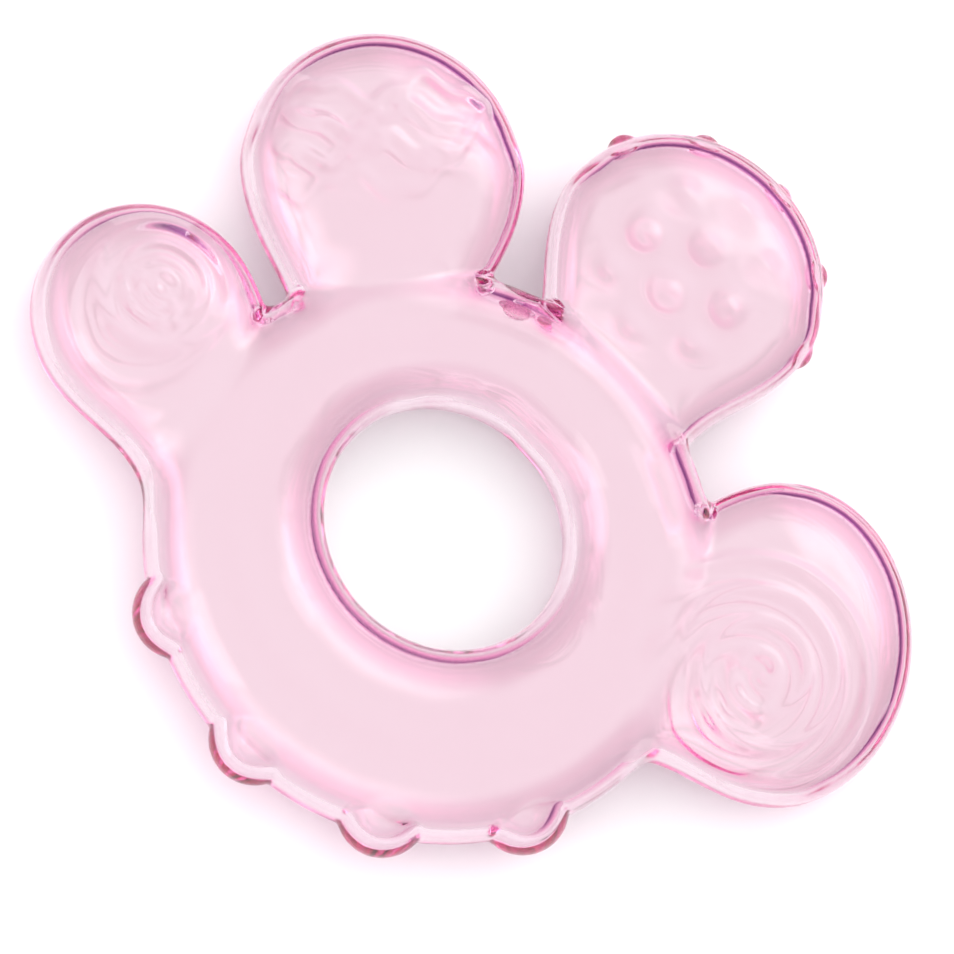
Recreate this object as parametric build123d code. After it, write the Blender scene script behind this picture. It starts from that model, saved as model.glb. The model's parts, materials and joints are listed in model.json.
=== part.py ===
from build123d import *
from math import radians, sin
import os

# Liquid-filled teething ring shaped like an open hand: a padded grip ring with four chewing lobes.
# Two moulded half shells meet on the mid plane and are welded there. They hold a sealed liquid fill,
# and a plug closes the filling port on the weld line, in the notch between two lobes.
# Drawn with the ring's outer circle on the Z axis, the fingers' middle direction along +Y and the weld
# plane at Z = 0. Before export everything moves so that the part rests on Z = 0, centred on its box.

# Driving dimensions, millimetres
HALF_THICKNESS = 8.5      # weld plane to the highest point of a face
WALL = 2.0                # shell wall
LAND = 1.0                # straight band beside the weld line, on each shell
FLUID_GAP = 0.05          # between the liquid and the wall

RING_R = 37.2             # outer radius of the grip ring
HOLE_R = 16.1             # grip hole at the weld line
HOLE_Y = 4.0              # the hole is set off towards the fingers
RING_ROUNDING = 8.3       # width of the rounded part on each side of the ring's band

NECK_HEIGHT = 6.6         # weld plane to the top of a lobe's neck
NECK_ROUNDING = 7.5
NECK_START = 27.0         # the neck begins inside the ring, this far from the ring's axis
LOBE_ROUNDING = 9.0       # width of the rounded part around a lobe's face
RELIEF = 0.4              # how far ripples, waves and swirl stand out of a face
NUB_RELIEF = 0.7          # how far a nub stands out

# Each lobe: direction and distance of its centre from the ring's axis, radius, half the straight
# stretch across it, and its neck: direction of the root, half width at the root and at the centre.
RIPPLE_LOBE = dict(angle=169.4, distance=46.7, radius=14.7, stretch=0.0, neck=(178.0, 13.0, 13.6))
WAVE_LOBE = dict(angle=123.4, distance=50.7, radius=18.2, stretch=0.0, neck=(126.5, 11.8, 13.8))
NUB_LOBE = dict(angle=76.1, distance=53.4, radius=17.3, stretch=1.6, neck=(69.5, 10.2, 16.0))
SWIRL_LOBE = dict(angle=16.2, distance=47.0, radius=17.4, stretch=3.6, neck=(11.0, 15.0, 16.4))
LOBES = (RIPPLE_LOBE, WAVE_LOBE, NUB_LOBE, SWIRL_LOBE)

BUMP_R = 5.8              # round bumps on the rim opposite the fingers
BUMP_TIP = 40.1           # how far they reach from the ring's axis
BUMP_PITCH = 31.1         # degrees
BUMP_COUNT = 4

RIDGE_R = 0.8             # section radius of ripples, waves and swirl
RIPPLE_CENTRE = (1.0, -1.8)   # off the lobe's own centre
RIPPLE_RADII = (3.1, 5.4, 7.7)
SWIRL_CENTRE = (-1.5, -4.0)
SWIRL_START = 1.7         # radius of the swirl's first half turn
SWIRL_STEP = 1.7          # growth of its radius at each half turn
SWIRL_HALF_TURNS = 5
WAVE_RADIUS = 3.6         # radius of each wave's arcs
WAVE_ARC = 100            # degrees turned by each arc
WAVE_ROWS = (-1.5, 3.0, 7.5)
NUB_R = 1.7
NUB_CIRCLE = 8.2          # six nubs around a middle one
RIM_NUB_R = 1.9
RIM_NUB_RELIEF = 0.9
RIM_NUB_FIRST = -83.0     # degrees from the lobe's own direction
RIM_NUB_PITCH = 37.5
RIM_NUB_COUNT = 5

PORT_ANGLE = 97.5         # filling port, in the notch between the wave and nub lobes
PORT_R = 1.8
PLUG_FLANGE_R = 2.5
PLUG_FLANGE = 0.6         # flange thickness, inside the wall
PLUG_RECESS = 0.2         # plug end below the rim


def profile(half_width, height, rounding):
    """Half section in XZ: straight land at the weld line, elliptical rounding, flat top."""
    shoulder = half_width - rounding
    rim = Line((half_width, 0), (half_width, LAND))
    curve = EllipticalCenterArc((shoulder, LAND), rounding, height - LAND, 0, arc_size=90)
    rest = Polyline((shoulder, height), (0, height), (0, 0), (half_width, 0))
    return Plane.XZ * make_face([rim, curve, *rest.edges()])


def pad(half_width, height, rounding):
    """Round flat pad with a rounded rim, standing on the weld plane."""
    return revolve(profile(half_width, height, rounding), Axis.Z)


def section(half_width, height, rounding):
    half = profile(half_width, height, rounding)
    return half + mirror(half, Plane.YZ)


def neck_solid(lobe, inset):
    """Tapered bar with a rounded section, from inside the ring to the lobe's centre."""
    root_angle, root_width, end_width = lobe["neck"]
    root = Vector(NECK_START, 0).rotate(Axis.Z, root_angle)
    centre = Vector(lobe["distance"], 0).rotate(Axis.Z, lobe["angle"])
    reach = centre - root
    ends = [
        section(root_width - inset, NECK_HEIGHT - inset, NECK_ROUNDING - inset),
        Pos(0, reach.length, 0) * section(end_width - inset, NECK_HEIGHT - inset, NECK_ROUNDING - inset),
    ]
    heading = Vector(0, 1).get_signed_angle(reach, Vector(0, 0, 1))
    return Pos(*root) * Rot(0, 0, heading) * loft(ends, ruled=True)


def hole_cutter(inset):
    """The grip hole with its flared mouth."""
    radius = HOLE_R + inset
    height = HALF_THICKNESS - inset
    rounding = RING_ROUNDING - inset
    flare = radius + rounding
    rim = Line((radius, 0), (radius, LAND))
    curve = EllipticalCenterArc((flare, LAND), rounding, height - LAND, 90, arc_size=90)
    rest = Polyline((flare, height), (flare, height + 5), (0, height + 5), (0, -5), (radius, -5), (radius, 0))
    face = Plane.XZ * make_face([rim, curve, *rest.edges()])
    return Pos(0, HOLE_Y, 0) * revolve(face, Axis.Z)


def lobe_place(lobe):
    """Frame at a lobe's centre, its X axis pointing away from the ring."""
    return Rot(0, 0, lobe["angle"]) * Pos(lobe["distance"], 0, 0)


def relief_place(lobe):
    """Frame of a lobe's ridges: their section centres lie in its XY plane."""
    return lobe_place(lobe) * Pos(0, 0, HALF_THICKNESS - RIDGE_R)


def lobe_face(lobe):
    """Height of a lobe's plain face above the weld plane, below its relief."""
    relief = NUB_RELIEF if lobe is NUB_LOBE else RELIEF
    return HALF_THICKNESS - relief


def lobe_solid(lobe, inset):
    radius = lobe["radius"] - inset
    height = lobe_face(lobe) - inset
    rounding = LOBE_ROUNDING - inset
    stretch = lobe["stretch"]
    if stretch:
        body = Pos(0, -stretch, 0) * pad(radius, height, rounding)
        body += Pos(0, stretch, 0) * pad(radius, height, rounding)
        body += Pos(0, -stretch, 0) * extrude(section(radius, height, rounding), 2 * stretch, dir=(0, 1, 0))
    else:
        body = pad(radius, height, rounding)
    return lobe_place(lobe) * body + neck_solid(lobe, inset)


def half_body(inset):
    """Everything above the weld plane, moved inwards by inset, with no relief on it."""
    body = pad(RING_R - inset, HALF_THICKNESS - inset, RING_ROUNDING - inset)
    for lobe in LOBES:
        body += lobe_solid(lobe, inset)
    return body - hole_cutter(inset)


def upper_ball(radius):
    return Sphere(radius) & Pos(0, 0, radius) * Box(3 * radius, 3 * radius, 2 * radius)


def rim_bumps():
    first = 270 - BUMP_PITCH * (BUMP_COUNT - 1) / 2
    places = [Rot(0, 0, first + BUMP_PITCH * i) * Pos(BUMP_TIP - BUMP_R, 0, 0) for i in range(BUMP_COUNT)]
    return [place * upper_ball(BUMP_R) for place in places]


def ripples():
    place = relief_place(RIPPLE_LOBE) * Pos(*RIPPLE_CENTRE)
    return [place * Torus(radius, RIDGE_R) for radius in RIPPLE_RADII]


def ridge(start, turns):
    """Round ridge with ball ends along tangent arcs, each given by its radius and degrees of turn."""
    point = Vector(*start)
    heading = Vector(0, 1)
    arcs = []
    for radius, turn in turns:
        arcs.append(JernArc(point, heading, radius, turn))
        point = arcs[-1] @ 1
        heading = arcs[-1] % 1
    path = Wire(arcs)
    body = sweep(Plane(origin=path @ 0, z_dir=path % 0) * Circle(RIDGE_R), path)
    return body + Pos(*(path @ 0)) * Sphere(RIDGE_R) + Pos(*(path @ 1)) * Sphere(RIDGE_R)


def swirl():
    """Spiral of half turns."""
    turns = [(SWIRL_START + SWIRL_STEP * i, 180) for i in range(SWIRL_HALF_TURNS)]
    return [relief_place(SWIRL_LOBE) * Pos(*SWIRL_CENTRE) * ridge((SWIRL_START, 0), turns)]


def waves():
    """Rows of arcs that bend to one side and the other in turn."""
    half_chord = WAVE_RADIUS * sin(radians(WAVE_ARC / 2))
    turns = [(WAVE_RADIUS, WAVE_ARC), (WAVE_RADIUS, -WAVE_ARC), (WAVE_RADIUS, WAVE_ARC)]
    lean = Rot(0, 0, -WAVE_ARC / 2)
    row = lean * ridge((0, 0), turns)
    return [relief_place(WAVE_LOBE) * Pos(x, -3 * half_chord, 0) * row for x in WAVE_ROWS]


def nubs():
    place = lobe_place(NUB_LOBE)
    level = Pos(0, 0, HALF_THICKNESS - NUB_R)
    solids = [place * level * Sphere(NUB_R)]
    for i in range(6):
        solids.append(place * Rot(0, 0, 60 * i) * Pos(NUB_CIRCLE, 0, 0) * level * Sphere(NUB_R))
    reach = NUB_LOBE["radius"] + RIM_NUB_RELIEF - RIM_NUB_R
    for i in range(RIM_NUB_COUNT):
        turn = Rot(0, 0, RIM_NUB_FIRST + RIM_NUB_PITCH * i)
        solids.append(place * turn * Pos(reach, 0, 0) * upper_ball(RIM_NUB_R))
    return solids


def port(radius, first, last):
    """Round rod on the filling port's axis, between two distances from the ring's axis."""
    rod = Pos((first + last) / 2, 0, 0) * Rot(0, 90, 0) * Cylinder(radius, last - first)
    return Rot(0, 0, PORT_ANGLE) * rod


def fill_plug():
    inner = RING_R - WALL
    stem = port(PORT_R, inner - PLUG_FLANGE, RING_R - PLUG_RECESS)
    return stem + port(PLUG_FLANGE_R, inner - PLUG_FLANGE, inner)


def front_shell():
    shell = half_body(0)
    for feature in rim_bumps() + ripples() + swirl() + waves() + nubs():
        shell += feature
    shell -= half_body(WALL)
    inner = RING_R - WALL
    seat = port(PLUG_FLANGE_R, inner - 2 * PLUG_FLANGE, inner)
    return shell - port(PORT_R, inner - PLUG_FLANGE, RING_R + 1) - seat


def cooling_fluid():
    half = half_body(WALL + FLUID_GAP)
    inner = RING_R - WALL
    pocket = port(PLUG_FLANGE_R + FLUID_GAP, inner - PLUG_FLANGE - FLUID_GAP, RING_R)
    return half + mirror(half, Plane.XY) - pocket


front = front_shell()
pieces = {
    "front_shell": front,
    "rear_shell": mirror(front, Plane.XY),
    "cooling_fluid": cooling_fluid(),
    "fill_plug": fill_plug(),
}
box = Compound(children=[Compound(piece.wrapped) for piece in pieces.values()]).bounding_box()
to_floor = Pos(-(box.min.X + box.max.X) / 2, -(box.min.Y + box.max.Y) / 2, -box.min.Z)

os.makedirs("parts", exist_ok=True)
for name, piece in pieces.items():
    export_step(to_floor * piece, f"parts/{name}.step")
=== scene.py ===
"""Looks for the liquid-filled teething ring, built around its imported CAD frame.

The body is described by signed fields, negative inside, in millimetres about the ring's axis and the weld
plane. A surface net turns a field into smooth quads above the weld plane; the skin and the cavity wall are
joined into a half shell, and mirrored for the other half. The liquid is the cavity closed on itself.
"""
import json
from math import atan2, cos, degrees, pi, radians, sin

import bpy
import numpy as np
from mathutils import Matrix, Vector


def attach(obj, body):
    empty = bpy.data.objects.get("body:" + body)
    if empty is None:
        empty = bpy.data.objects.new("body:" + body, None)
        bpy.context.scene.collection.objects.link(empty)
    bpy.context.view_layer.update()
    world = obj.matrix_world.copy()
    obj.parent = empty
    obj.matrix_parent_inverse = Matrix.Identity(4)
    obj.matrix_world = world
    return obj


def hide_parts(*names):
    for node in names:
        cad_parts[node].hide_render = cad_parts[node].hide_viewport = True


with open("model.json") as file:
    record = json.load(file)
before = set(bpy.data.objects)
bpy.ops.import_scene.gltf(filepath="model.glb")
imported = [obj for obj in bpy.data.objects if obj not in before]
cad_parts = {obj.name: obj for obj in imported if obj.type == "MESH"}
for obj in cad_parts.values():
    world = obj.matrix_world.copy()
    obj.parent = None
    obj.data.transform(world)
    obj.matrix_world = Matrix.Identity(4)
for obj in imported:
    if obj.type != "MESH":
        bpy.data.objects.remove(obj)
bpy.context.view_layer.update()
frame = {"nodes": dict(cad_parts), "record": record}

MM = 0.001

# ---- Dimensions, millimetres, as in the CAD part -----------------------------------------------------

HALF = 8.5                # weld plane to the highest point of a face
FLAT_BLEND = 0.2          # rounding where the relief is held to that height
WALL = 2.0
RING_R = 37.2
HOLE_R = 16.1
HOLE_Y = 4.0              # the hole is set off towards the fingers
RING_POWER = 2.2          # 2 gives the band an elliptical section, more makes it fuller
LOBE_POWER = 2.5
NECK_START = 27.0
NECK_HEIGHT = 6.6
CREASE = 1.2              # rounding of the valley where a lobe meets the ring
CREASE_GROWTH = 0.4       # how much rounder that valley is for each mm further in
LOBE_CREASE = 0.6         # rounding where two lobes meet
NECK_BLEND = 3.0          # rounding between a lobe and its neck

# Each lobe: direction and distance of its centre, semi-axes along and across that direction, height of
# its plain face, and its neck's root direction, half width at the root and at the centre.
LOBES = {
    "ripple": dict(angle=169.4, distance=46.7, along=14.7, across=14.5, height=8.0, neck=(183.0, 13.1, 10.6)),
    "wave": dict(angle=123.4, distance=50.7, along=18.1, across=18.2, height=8.1, neck=(129.0, 10.8, 14.6)),
    "nub": dict(angle=76.1, distance=53.4, along=17.1, across=18.8, height=7.8, neck=(66.5, 11.1, 14.8)),
    "swirl": dict(angle=16.2, distance=47.0, along=17.3, across=21.3, height=8.1, neck=(5.0, 14.6, 15.2)),
}
# Round bumps on the rim, opposite the lobes: degrees between them, radius, and reach from the ring's axis
BUMP_COUNT, BUMP_PITCH, BUMP_R, BUMP_TIP = 4, 31.1, 5.8, 40.1
BUMP_CREASE = 0.25        # rounding at the foot of a bump or rim nub
BUMP_WALL = 2.6           # a rim bump is hollow inside this wall
HOLLOW_BLEND = 1.6        # rounding between that hollow and the cavity

# Small nubs round the edge of the nub lobe
RIM_NUB_COUNT, RIM_NUB_START, RIM_NUB_PITCH = 5, -83, 37.5
RIM_NUB_R, RIM_NUB_STANDS = 2.3, 1.1

PORT_ANGLE = 97.5         # direction of the filling port, in the notch between two lobes

# ---- Meshing, millimetres ----------------------------------------------------------------------------

OVERLAP = 0.03            # the liquid wets the wall, so that light never meets air between the two
WELD_OVERLAP = 0.01       # each half reaches this far past the weld plane, so that no gap shows
OUTER_CELL, CAVITY_CELL = 0.44, 0.7
GRID_X, GRID_Y = (-63.0, 67.0), (-43.0, 74.0)
SPREAD_ROUNDS = 4
SHARP = radians(50)       # a fold sharper than this is shaded as an edge
MIRROR = np.array([[1], [1], [-1]])
PLUG_STEPS = 48

# Where the ring's axis meets the weld plane, in the frame, metres
grip_hole = next(mount for mount in frame["record"]["mounts"] if mount["name"] == "grip_hole")
AXIS = Vector(grip_hole["pos_m"]) - Vector((0, HOLE_Y * MM, 0))


# ---- The signed fields -------------------------------------------------------------------------------

def smooth_min(a, b, reach):
    """The lesser of two fields, with the fold between them rounded over that reach."""
    near = np.maximum(reach - np.abs(a - b), 0) / reach
    return np.minimum(a, b) - near * near * reach / 4


def turned(p, angle, x0, y0):
    """In-plane coordinates in a frame at (x0, y0), its X axis at that angle."""
    c, s = cos(radians(angle)), sin(radians(angle))
    dx, dy = p[0] - x0, p[1] - y0
    return c * dx + s * dy, c * dy - s * dx


def ring_field(p, inset):
    """The grip ring: a band between the rim and the off-centre hole, oval in section."""
    height = HALF - inset
    outwards = RING_R - inset - np.hypot(p[0], p[1])
    inwards = np.hypot(p[0], p[1] - HOLE_Y) - HOLE_R - inset
    half_band = (outwards + inwards) / 2
    across = np.abs(outwards - inwards) / (2 * half_band)
    level = (across ** RING_POWER + (np.abs(p[2]) / height) ** RING_POWER) ** (1 / RING_POWER)
    return (level - 1) * np.minimum(half_band, height)


def lobe_centre(lobe):
    a = radians(lobe["angle"])
    return lobe["distance"] * cos(a), lobe["distance"] * sin(a)


def lobe_field(p, lobe, inset):
    """A flattened oval pad, and the neck that joins it to the ring."""
    cx, cy = lobe_centre(lobe)
    x, y = turned(p, lobe["angle"], cx, cy)
    height = lobe["height"] - inset
    spread = np.hypot(x / (lobe["along"] - inset), y / (lobe["across"] - inset))
    level = (spread ** LOBE_POWER + (np.abs(p[2]) / height) ** LOBE_POWER) ** (1 / LOBE_POWER)
    bulb = (level - 1) * height

    root_angle, root_width, end_width = lobe["neck"]
    rx, ry = NECK_START * cos(radians(root_angle)), NECK_START * sin(radians(root_angle))
    length = np.hypot(cx - rx, cy - ry)
    x, y = turned(p, degrees(atan2(cy - ry, cx - rx)), rx, ry)
    width = root_width + (end_width - root_width) * np.clip(x / length, 0, 1) - inset
    height = NECK_HEIGHT - inset
    beyond = np.maximum(np.maximum(-x, x - length), 0) / height
    level = ((np.abs(y) / width) ** LOBE_POWER + (np.abs(p[2]) / height) ** LOBE_POWER) ** (1 / LOBE_POWER)
    neck = (np.hypot(level, beyond) - 1) * height
    return smooth_min(bulb, neck, NECK_BLEND)


def body_field(p, inset):
    """The plain body, without relief and bumps, moved inwards by inset."""
    lobes = np.full_like(p[0], 1e3)
    for lobe in LOBES.values():
        lobes = smooth_min(lobes, lobe_field(p, lobe, inset), LOBE_CREASE)
    return smooth_min(ring_field(p, inset), lobes, CREASE + CREASE_GROWTH * inset)


def bump_field(p):
    """The row of balls on the rim."""
    nearest = np.full_like(p[0], 1e3)
    for i in range(BUMP_COUNT):
        a = radians(270 + BUMP_PITCH * (i - (BUMP_COUNT - 1) / 2))
        reach = BUMP_TIP - BUMP_R
        away = np.sqrt((p[0] - reach * cos(a)) ** 2 + (p[1] - reach * sin(a)) ** 2 + p[2] ** 2)
        nearest = np.minimum(nearest, away - BUMP_R)
    return nearest


# ---- Moulded patterns: how far each stands out of its face, at (x, y) from the lobe's centre -----------

def ridge(distance, width, height):
    """A soft ridge's height at that distance from its crest."""
    return height * np.exp(-(distance / width) ** 2)


def ripples(x, y):
    """Rings spreading from a drop, in a shallow round basin."""
    x, y = x - 1.0, y + 1.8
    unevenness = 0.12 * np.sin(3 * np.arctan2(y, x))
    r = np.hypot(x, y) + unevenness
    rings = sum(ridge(r - radius, 0.75, 0.34) for radius in (1.4, 3.3, 5.3))
    basin_edge = ridge(r - 8.4, 1.3, 0.4)
    return rings + basin_edge


def waves(x, y):
    """Three rows of wavelets running across the lobe."""
    rows = 0
    for row, phase in ((0.5, 0.4), (4.5, 2.1), (8.5, 3.5)):
        swell = 1.5 * np.sin(2 * pi * y / 14 + phase)
        chop = 0.5 * np.sin(2 * pi * y / 5.5 + 2 * phase)
        rows = rows + ridge(x - row - swell - chop, 1.2, 0.35)
    return rows * fade(np.abs(y), 14.5, 11)


def nubs(x, y):
    """One nub in the middle of six."""
    width, height, circle = 2.1, 0.6, 8.2
    total = ridge(np.hypot(x, y), width, height)
    for i in range(6):
        a = 2 * pi * i / 6
        total = total + ridge(np.hypot(x - circle * cos(a), y - circle * sin(a)), width, height)
    return total


def swirl(x, y):
    """A spiral ridge round a point low on the lobe."""
    start, pitch = 1.6, 4.2
    x, y = x + 4.0, y + 7.2
    r = np.hypot(x, y)
    past_turn = (r - start - pitch * np.arctan2(y, x) / (2 * pi)) % pitch
    to_ridge = np.minimum(past_turn, pitch - past_turn)
    return ridge(to_ridge, 1.0, 0.4) * fade(r, 18.5, 15)


def fade(value, none, full):
    """0 at none, 1 at full, smooth between."""
    t = np.clip((value - none) / (full - none), 0, 1)
    return t * t * (3 - 2 * t)


PATTERNS = {"ripple": ripples, "wave": waves, "nub": nubs, "swirl": swirl}


def relief(p):
    """How far the moulded patterns stand out of the faces, fading out towards the lobe's edge and the
    weld plane."""
    height = np.zeros_like(p[0])
    for name, pattern in PATTERNS.items():
        lobe = LOBES[name]
        x, y = turned(p, lobe["angle"], *lobe_centre(lobe))
        reach = np.hypot(x / lobe["along"], y / lobe["across"])
        here = reach < 1
        height[here] += pattern(x[here], y[here]) * fade(reach[here], 0.97, 0.8)
    return height * fade(np.abs(p[2]), 3.0, 5.5)


def rim_nub_field(p):
    """The balls round the edge of the nub lobe."""
    lobe = LOBES["nub"]
    x, y = turned(p, lobe["angle"], *lobe_centre(lobe))
    out = (lobe["along"] + RIM_NUB_STANDS - RIM_NUB_R) / lobe["along"]
    nearest = np.full_like(p[0], 1e3)
    for i in range(RIM_NUB_COUNT):
        a = radians(RIM_NUB_START + RIM_NUB_PITCH * i)
        nub_x, nub_y = out * lobe["along"] * cos(a), out * lobe["across"] * sin(a)
        away = np.sqrt((x - nub_x) ** 2 + (y - nub_y) ** 2 + p[2] ** 2)
        nearest = np.minimum(nearest, away - RIM_NUB_R)
    return nearest


def outer_field(p):
    """The skin."""
    rim = np.minimum(bump_field(p), rim_nub_field(p))
    whole = smooth_min(body_field(p, 0) - relief(p), rim, BUMP_CREASE)
    return -smooth_min(-whole, HALF - np.abs(p[2]), FLAT_BLEND)


def cavity_field(p):
    """The inside wall."""
    return smooth_min(body_field(p, WALL), bump_field(p) + BUMP_WALL, HOLLOW_BLEND)


# ---- Surface net -------------------------------------------------------------------------------------

def gradient(field, p):
    step = 0.02
    out = np.empty_like(p)
    for axis in range(3):
        shift = np.zeros((3, 1))
        shift[axis] = step
        out[axis] = (field(p + shift) - field(p - shift)) / (2 * step)
    return out


def onto_surface(field, p, on_plane, rounds):
    """Steps points to the field's surface. Those on the weld plane stay on it."""
    for _ in range(rounds):
        g = gradient(field, p)
        g[2, on_plane] = 0
        p = p - field(p) * g / np.maximum((g * g).sum(0), 0.05)
    return p


def upper_half(field, cell):
    """The field's surface above the weld plane: vertices (3, n), quads (m, 4), and which vertices lie on
    the plane, where it is open."""
    xs = np.arange(*GRID_X, cell)
    ys = np.arange(*GRID_Y, cell)
    zs = (np.arange(int(HALF / cell) + 3) - 0.5) * cell
    nodes = np.array(np.meshgrid(xs, ys, zs, indexing="ij"))
    value = field(nodes.reshape(3, -1)).reshape(nodes.shape[1:])
    total = np.zeros((3, *(n - 1 for n in value.shape)))
    count = np.zeros(total.shape[1:])
    edges = []
    for axis in range(3):
        u, v = (a for a in range(3) if a != axis)
        order = (axis, u, v)
        at = np.transpose(value, order)
        crossed = (at[:-1] < 0) != (at[1:] < 0)
        share = np.where(crossed, at[:-1] / np.where(crossed, at[:-1] - at[1:], 1), 0)
        place = np.transpose(nodes, (0, *(1 + a for a in order)))[:, :-1].copy()
        place[axis] += share * cell
        sums = np.transpose(total, (0, *(1 + a for a in order)))
        counts = np.transpose(count, order)
        _, rows, columns = counts.shape
        for du in (0, 1):
            for dv in (0, 1):
                part = crossed[:, du:du + rows, dv:dv + columns]
                sums += place[:, :, du:du + rows, dv:dv + columns] * part
                counts += part
        edges.append((order, crossed, at[:-1] < 0))
    used = count > 0
    number = np.full(count.shape, -1)
    number[used] = np.arange(used.sum())
    quads = []
    for order, crossed, inside in edges:
        i, j, k = np.nonzero(crossed[:, 1:-1, 1:-1])
        n = np.transpose(number, order)
        around = np.stack([n[i, j, k], n[i, j + 1, k], n[i, j + 1, k + 1], n[i, j, k + 1]], 1)
        backwards = inside[i, j + 1, k + 1] == (order[0] == 1)
        around[backwards] = around[backwards, ::-1]
        quads.append(around)
    on_plane = np.nonzero(used)[2] == 0
    return spread(field, total[:, used] / count[used], np.concatenate(quads), on_plane)


def spread(field, points, quads, on_plane):
    """Moves the vertices onto the surface and evens them out along it."""
    ends = np.concatenate([quads[:, (i, (i + 1) % 4)] for i in range(4)])
    ends = np.concatenate([ends, ends[:, ::-1]])
    ends = ends[~on_plane[ends[:, 0]] | on_plane[ends[:, 1]]]
    degree = np.maximum(np.bincount(ends[:, 0], minlength=points.shape[1]), 1)
    for _ in range(SPREAD_ROUNDS):
        points[2, on_plane] = 0
        points = onto_surface(field, points, on_plane, 2)
        mean = np.array([np.bincount(ends[:, 0], row[ends[:, 1]], points.shape[1]) for row in points])
        points = points + 0.5 * (mean / degree - points)
    points[2, on_plane] = 0
    return onto_surface(field, points, on_plane, 3), quads, on_plane


def open_loops(quads):
    """Closed loops of the open edge, each as an ordered list of vertices, longest first."""
    size = quads.max() + 1
    ends = np.concatenate([quads[:, (i, (i + 1) % 4)] for i in range(4)])
    lone = ~np.isin(ends[:, 0] * size + ends[:, 1], ends[:, 1] * size + ends[:, 0])
    after = dict(ends[lone].tolist())
    loops = []
    while after:
        start, here = after.popitem()
        loop = [start]
        while here != start:
            loop.append(here)
            here = after.pop(here)
        loops.append(loop)
    return sorted(loops, key=len, reverse=True)


def zipped(points, first, second):
    """Triangles between two loops that run the same way, each step across the shorter diagonal."""
    gap = np.linalg.norm(points[:, second] - points[:, first[:1]], axis=0)
    start = int(gap.argmin())
    second = second[start:] + second[:start]
    a, b = first + first[:1], second + second[:1]
    i = j = 0
    faces = []
    while i < len(first) or j < len(second):
        ahead = np.inf if i == len(first) else np.linalg.norm(points[:, a[i + 1]] - points[:, b[j]])
        behind = np.inf if j == len(second) else np.linalg.norm(points[:, b[j + 1]] - points[:, a[i]])
        if ahead <= behind:
            faces.append((a[i + 1], a[i], b[j]))
            i += 1
        else:
            faces.append((a[i], b[j], b[j + 1]))
            j += 1
    return faces


# ---- Pieces ------------------------------------------------------------------------------------------

def piece(name, points, faces, material, slot, node):
    """A smooth mesh that stands for a CAD node. Points are in millimetres about the ring's axis."""
    mesh = bpy.data.meshes.new(name)
    mesh.from_pydata((points.T * MM + np.array(AXIS)).tolist(), [], faces)
    mesh.shade_smooth()
    mesh.materials.append(material)
    obj = bpy.data.objects.new(name, mesh)
    bpy.context.scene.collection.objects.link(obj)
    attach(obj, "root")
    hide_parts(node)
    return obj


def half_shell(outer, cavity):
    """Points and faces of the front shell: skin, cavity wall, and the flat weld face between them."""
    o_points, o_quads, o_plane = outer
    c_points, c_quads, c_plane = cavity
    shift = o_points.shape[1]
    points = np.concatenate([o_points, c_points], 1)
    skin = np.concatenate([o_quads, c_quads[:, ::-1] + shift]).tolist()
    rim = []
    for first, second in zip(open_loops(o_quads), open_loops(c_quads)):
        rim += zipped(points, first, [v + shift for v in second])
    points[2, np.concatenate([o_plane, c_plane])] = -WELD_OVERLAP
    return points, skin + rim


def mirrored(points, faces):
    """The same half on the other side of the weld plane."""
    return points * MIRROR, [face[::-1] for face in faces]


def whole_fluid(cavity):
    """Points and faces of the liquid: the cavity and its mirror image, which share the open edge."""
    points, quads, on_plane = cavity
    outwards = gradient(cavity_field, points)
    outwards[2, on_plane] = 0
    points = points + OVERLAP * outwards / np.linalg.norm(outwards, axis=0)
    count = points.shape[1]
    twin = np.arange(count)
    twin[~on_plane] = count + np.arange((~on_plane).sum())
    points = np.concatenate([points, points[:, ~on_plane] * MIRROR], 1)
    return points, np.concatenate([quads, twin[quads][:, ::-1]]).tolist()


def plug_profile(start, end):
    """(distance along the port, radius) of the plug's outline, from inside the body to outside it: a
    stem, a rounded flange and a dished end."""
    stem = [(start, 0), (start, 1.5), (start + 0.25, 1.8), (end - 0.6, 1.8)]
    flange = [(end - 0.6, 2.3), (end - 0.45, 2.5), (end - 0.15, 2.5), (end, 2.25)]
    dish = [(end - 0.05, 1.5), (end - 0.25, 0.8), (end - 0.3, 0)]
    return stem + flange + dish


def turned_plug():
    """Points and faces of the plug, turned about the port, as long as its CAD solid."""
    a = radians(PORT_ANGLE)
    out = Vector((cos(a), sin(a), 0))
    side = Vector((-sin(a), cos(a), 0))
    upright = Vector((0, 0, 1))
    reaches = [(v.co - AXIS).dot(out) / MM for v in frame["nodes"]["fill_plug"].data.vertices]
    profile = plug_profile(min(reaches), max(reaches))
    points = []
    for along_port, radius in profile:
        for i in range(PLUG_STEPS):
            turn = 2 * pi * i / PLUG_STEPS
            points.append(out * along_port + radius * (side * cos(turn) + upright * sin(turn)))
    faces = []
    for start in range(0, PLUG_STEPS * (len(profile) - 1), PLUG_STEPS):
        for i in range(PLUG_STEPS):
            j = (i + 1) % PLUG_STEPS
            faces.append((start + i, start + j, start + PLUG_STEPS + j, start + PLUG_STEPS + i))
    return np.array(points).T, faces


# ---- Materials ---------------------------------------------------------------------------------------

def new_material(name):
    material = bpy.data.materials.new(name)
    material.use_nodes = True
    return material, material.node_tree.nodes["Principled BSDF"]


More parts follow.
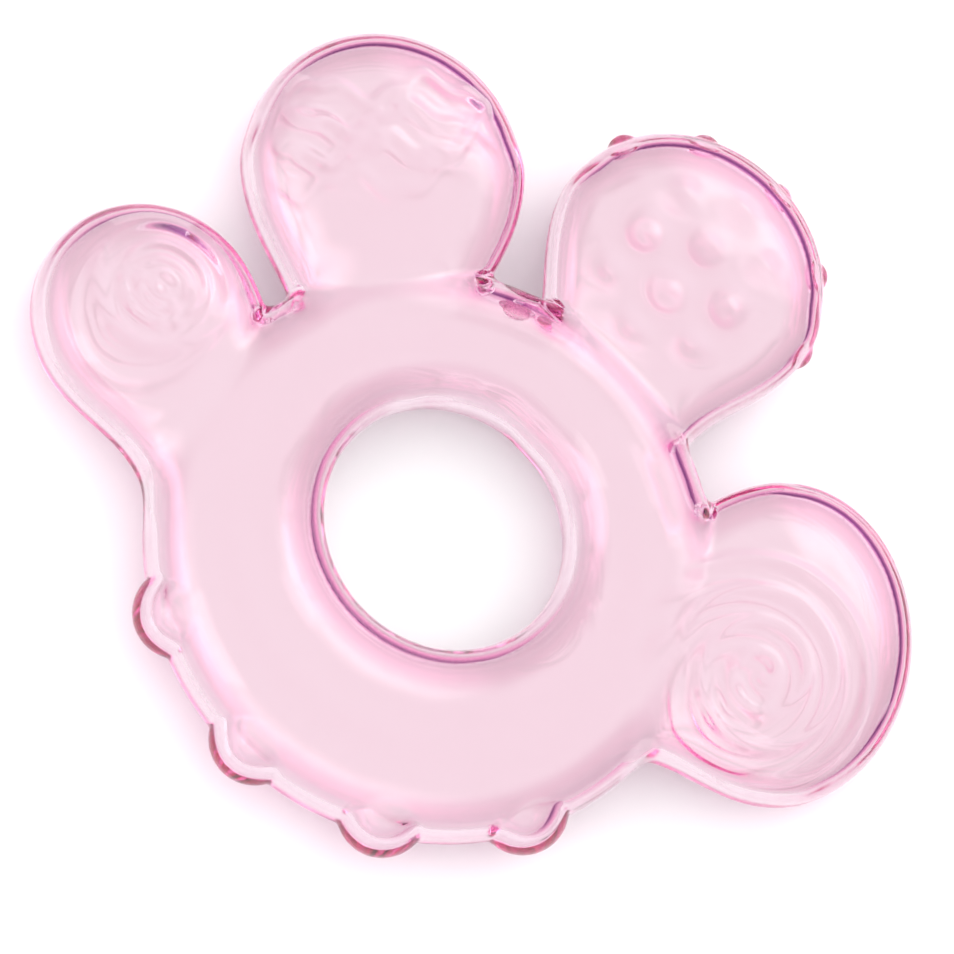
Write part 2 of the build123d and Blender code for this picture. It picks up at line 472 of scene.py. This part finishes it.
def clear_material(name, colour, roughness, ior, absorption, density):
    """A tinted material that light passes through."""
    material, shader = new_material(name)
    shader.inputs["Base Color"].default_value = (*colour, 1)
    shader.inputs["Transmission Weight"].default_value = 1
    shader.inputs["Roughness"].default_value = roughness
    shader.inputs["IOR"].default_value = ior
    tree = material.node_tree
    volume = tree.nodes.new("ShaderNodeVolumeAbsorption")
    volume.inputs["Color"].default_value = (*absorption, 1)
    volume.inputs["Density"].default_value = density
    tree.links.new(volume.outputs["Volume"], tree.nodes["Material Output"].inputs["Volume"])
    return material


def add_grain(material, scale, smoothest, roughest, depth):
    """The uneven polish and faint waviness of a moulded skin. Scale is the noise's, per metre; depth is
    in metres."""
    nodes, links = material.node_tree.nodes, material.node_tree.links
    shader = nodes["Principled BSDF"]
    noise = nodes.new("ShaderNodeTexNoise")
    noise.inputs["Scale"].default_value = scale
    noise.inputs["Detail"].default_value = 2
    links.new(nodes.new("ShaderNodeTexCoord").outputs["Object"], noise.inputs["Vector"])
    polish = nodes.new("ShaderNodeMapRange")
    polish.inputs["From Min"].default_value = 0.3
    polish.inputs["From Max"].default_value = 0.7
    polish.inputs["To Min"].default_value = smoothest
    polish.inputs["To Max"].default_value = roughest
    links.new(noise.outputs["Fac"], polish.inputs["Value"])
    links.new(polish.outputs["Result"], shader.inputs["Roughness"])
    bump = nodes.new("ShaderNodeBump")
    bump.inputs["Strength"].default_value = 1
    bump.inputs["Distance"].default_value = depth
    links.new(noise.outputs["Fac"], bump.inputs["Height"])
    links.new(bump.outputs["Normal"], shader.inputs["Normal"])


CLEAR = (1, 1, 1)
shell_plastic = clear_material(
    "shell_plastic", CLEAR, roughness=0.02, ior=1.49, absorption=(0.97, 0.58, 0.82), density=75)
add_grain(shell_plastic, scale=90, smoothest=0.01, roughest=0.05, depth=0.0001)
# The photo shows the inner wall as a sharp line, which a filling as dense as water would hide
liquid = clear_material(
    "cooling_liquid", CLEAR, roughness=0.0, ior=1.05, absorption=(0.98, 0.66, 0.78), density=18)
plug_rubber = clear_material(
    "plug_rubber", (0.96, 0.72, 0.83), roughness=0.25, ior=1.45, absorption=(0.97, 0.55, 0.75), density=200)
add_grain(plug_rubber, scale=900, smoothest=0.2, roughest=0.35, depth=0.00005)

outer = upper_half(outer_field, OUTER_CELL)
cavity = upper_half(cavity_field, CAVITY_CELL)
front = half_shell(outer, cavity)
front_shell = piece("front_shell_clear", *front, shell_plastic, "shell", "front_shell")
rear_shell = piece("rear_shell_clear", *mirrored(*front), shell_plastic, "shell", "rear_shell")
fluid = piece("cooling_fluid_clear", *whole_fluid(cavity), liquid, "fluid", "cooling_fluid")
for moulded in (front_shell, rear_shell, fluid):
    moulded.data.set_sharp_from_angle(angle=SHARP)
plug = piece("fill_plug_soft", *turned_plug(), plug_rubber, "plug", "fill_plug")
poles = plug.modifiers.new("poles", "WELD")
poles.merge_threshold = 0.01 * MM


# ---- Stage -------------------------------------------------------------------------------------------

def floor():
    """A pale floor. Light that has passed through the body doesn't see it, but the studio below."""
    material, shader = new_material("pale_floor")
    shader.inputs["Base Color"].default_value = (0.93, 0.93, 0.93, 1)
    shader.inputs["Roughness"].default_value = 0.6
    shader.inputs["Specular IOR Level"].default_value = 0.2
    mesh = bpy.data.meshes.new("floor")
    mesh.from_pydata([(-2, -2, 0), (2, -2, 0), (2, 2, 0), (-2, 2, 0)], [], [(0, 1, 2, 3)])
    mesh.materials.append(material)
    obj = bpy.data.objects.new("floor", mesh)
    bpy.context.scene.collection.objects.link(obj)
    obj.visible_transmission = False


floor()

CAMERA_TILT = 23.4        # degrees between the line of sight and the upright
CAMERA_SPIN = 42.8        # degrees that the picture is rolled
CAMERA_SIDE = 71.3        # direction, in the plane of the hand, that the camera looks towards
FIELD_WIDTH = 120.1       # mm that the picture takes in, at the object
AIM_RIGHT, AIM_UP = 5.8, 9.8  # mm from the ring's axis to the middle of the picture
LENS, SENSOR = 300.0, 36.0

upright = Vector((0, 0, 1))
beyond = Vector((cos(radians(CAMERA_SIDE)), sin(radians(CAMERA_SIDE)), 0))
tilt, spin = radians(CAMERA_TILT), radians(CAMERA_SPIN)
back = cos(tilt) * upright - sin(tilt) * beyond
slope = cos(tilt) * beyond + sin(tilt) * upright
level = upright.cross(beyond)
right = cos(spin) * slope - sin(spin) * level
up = sin(spin) * slope + cos(spin) * level
target = AXIS + MM * (AIM_RIGHT * right + AIM_UP * up)


# ---- Light -------------------------------------------------------------------------------------------

def ramp(tree, factor, stops):
    """A colour ramp node over a factor from -1 to 1. Each stop is (factor, colour)."""
    scaled = tree.nodes.new("ShaderNodeMapRange")
    scaled.inputs["From Min"].default_value = -1
    tree.links.new(factor, scaled.inputs["Value"])
    node = tree.nodes.new("ShaderNodeValToRGB")
    elements = node.color_ramp.elements
    while len(elements) < len(stops):
        elements.new(0.5)
    for element, (at, colour) in zip(elements, sorted(stops)):
        element.position = (at + 1) / 2
        element.color = (*colour, 1)
    tree.links.new(scaled.outputs["Result"], node.inputs["Fac"])
    return node.outputs["Color"]


def along(tree, direction, axis):
    """How far a unit direction points along an axis, from -1 to 1."""
    dot = tree.nodes.new("ShaderNodeVectorMath")
    dot.operation = "DOT_PRODUCT"
    tree.links.new(direction, dot.inputs[0])
    dot.inputs[1].default_value = axis
    return dot.outputs["Value"]


STUDIO = 1.5              # brightness all round
STRIP, PANEL = 5.5, 3.5   # what the strip and the panel add to it
WHITE = (1.15, 1.2, 1.18)
LIT = (0.595, 0.545, 0.56)
TABLE = (0.50, 0.38, 0.41)
PINK = (0.66, 0.36, 0.50)
ROSE = (0.64, 0.27, 0.43)
HOT = (0.62, 0.17, 0.38)
PLUM = (0.13, 0.03, 0.12)

# Colours by how far a direction points down, from -1, straight up, to 1, straight down
BRIGHT_SIDE = [
    (-1, WHITE), (-0.65, WHITE), (-0.45, PINK), (-0.15, ROSE), (0.05, HOT), (0.25, ROSE), (0.5, TABLE),
    (0.75, LIT), (1, LIT)]
DARK_SIDE = [
    (-1, WHITE), (-0.7, WHITE), (-0.5, PINK), (-0.3, ROSE), (-0.12, PLUM), (0.35, PLUM), (0.6, ROSE),
    (0.82, TABLE), (1, TABLE)]
NONE, FULL = (0, 0, 0), (1, 1, 1)


def multiplied(tree, a, b, plus=0.0):
    """a * b + plus, where a and b are sockets or numbers."""
    node = tree.nodes.new("ShaderNodeMath")
    node.operation = "MULTIPLY_ADD"
    node.inputs[2].default_value = plus
    for socket, value in zip(node.inputs, (a, b)):
        if isinstance(value, float):
            socket.default_value = value
        else:
            tree.links.new(value, socket)
    return node.outputs["Value"]


def studio_world():
    """A white ceiling with a long strip on the left and a broad panel beyond the fingers; from below, a
    pale light table that deepens towards the horizon and towards the right."""
    world = bpy.data.worlds.new("studio")
    bpy.context.scene.world = world
    world.use_nodes = True
    tree = world.node_tree
    direction = tree.nodes.new("ShaderNodeTexCoord").outputs["Generated"]
    depth = along(tree, direction, (0, 0, -1))
    side = along(tree, direction, right)
    towards_dark = along(tree, direction, (0.8 * right + 0.6 * up).normalized())
    bright = ramp(tree, depth, BRIGHT_SIDE)
    dark = ramp(tree, depth, DARK_SIDE)
    share = ramp(tree, towards_dark, [(-0.35, NONE), (0.35, FULL)])
    mix = tree.nodes.new("ShaderNodeMix")
    mix.data_type = "RGBA"
    tree.links.new(share, mix.inputs["Factor"])
    tree.links.new(bright, mix.inputs["A"])
    tree.links.new(dark, mix.inputs["B"])
    above = ramp(tree, depth, [(-0.35, FULL), (-0.1, NONE)])
    strip = ramp(tree, side, [(-0.95, NONE), (-0.88, FULL), (-0.7, FULL), (-0.6, NONE)])
    towards_panel = along(tree, direction, (beyond + 0.3 * upright).normalized())
    panel = ramp(tree, towards_panel, [(0.8, NONE), (0.95, FULL)])
    sky = tree.nodes["Background"]
    total = tree.nodes.new("ShaderNodeMath")
    tree.links.new(multiplied(tree, multiplied(tree, strip, above), STRIP, STUDIO), total.inputs[0])
    tree.links.new(multiplied(tree, panel, PANEL), total.inputs[1])
    tree.links.new(total.outputs["Value"], sky.inputs["Strength"])
    tree.links.new(mix.outputs["Result"], sky.inputs["Color"])


def softbox(name, direction, distance, width, height, watts):
    """An area light facing the ring's centre."""
    data = bpy.data.lights.new(name, "AREA")
    data.shape = "RECTANGLE"
    data.size = width
    data.size_y = height
    data.energy = watts
    light = bpy.data.objects.new(name, data)
    light.location = AXIS + direction.normalized() * distance
    light.rotation_euler = direction.to_track_quat("Z", "Y").to_euler()
    bpy.context.scene.collection.objects.link(light)


studio_world()
softbox("overhead", back - 0.6 * right, distance=1.2, width=0.5, height=0.5, watts=0.8)

camera_data = bpy.data.cameras.new("camera")
camera_data.lens = LENS
camera_data.sensor_width = SENSOR
camera = bpy.data.objects.new("camera", camera_data)
bpy.context.scene.collection.objects.link(camera)
place = Matrix((right, up, back)).transposed().to_4x4()
place.translation = target + FIELD_WIDTH * MM * LENS / SENSOR * back
camera.matrix_world = place
bpy.context.scene.camera = camera
bpy.context.scene.view_settings.view_transform = "Standard"

# Light caught in the clear body is reflected inside it many times before it leaves, deeply tinted.
light_paths = bpy.context.scene.cycles
light_paths.max_bounces = 64
light_paths.transmission_bounces = 64
light_paths.glossy_bounces = 32
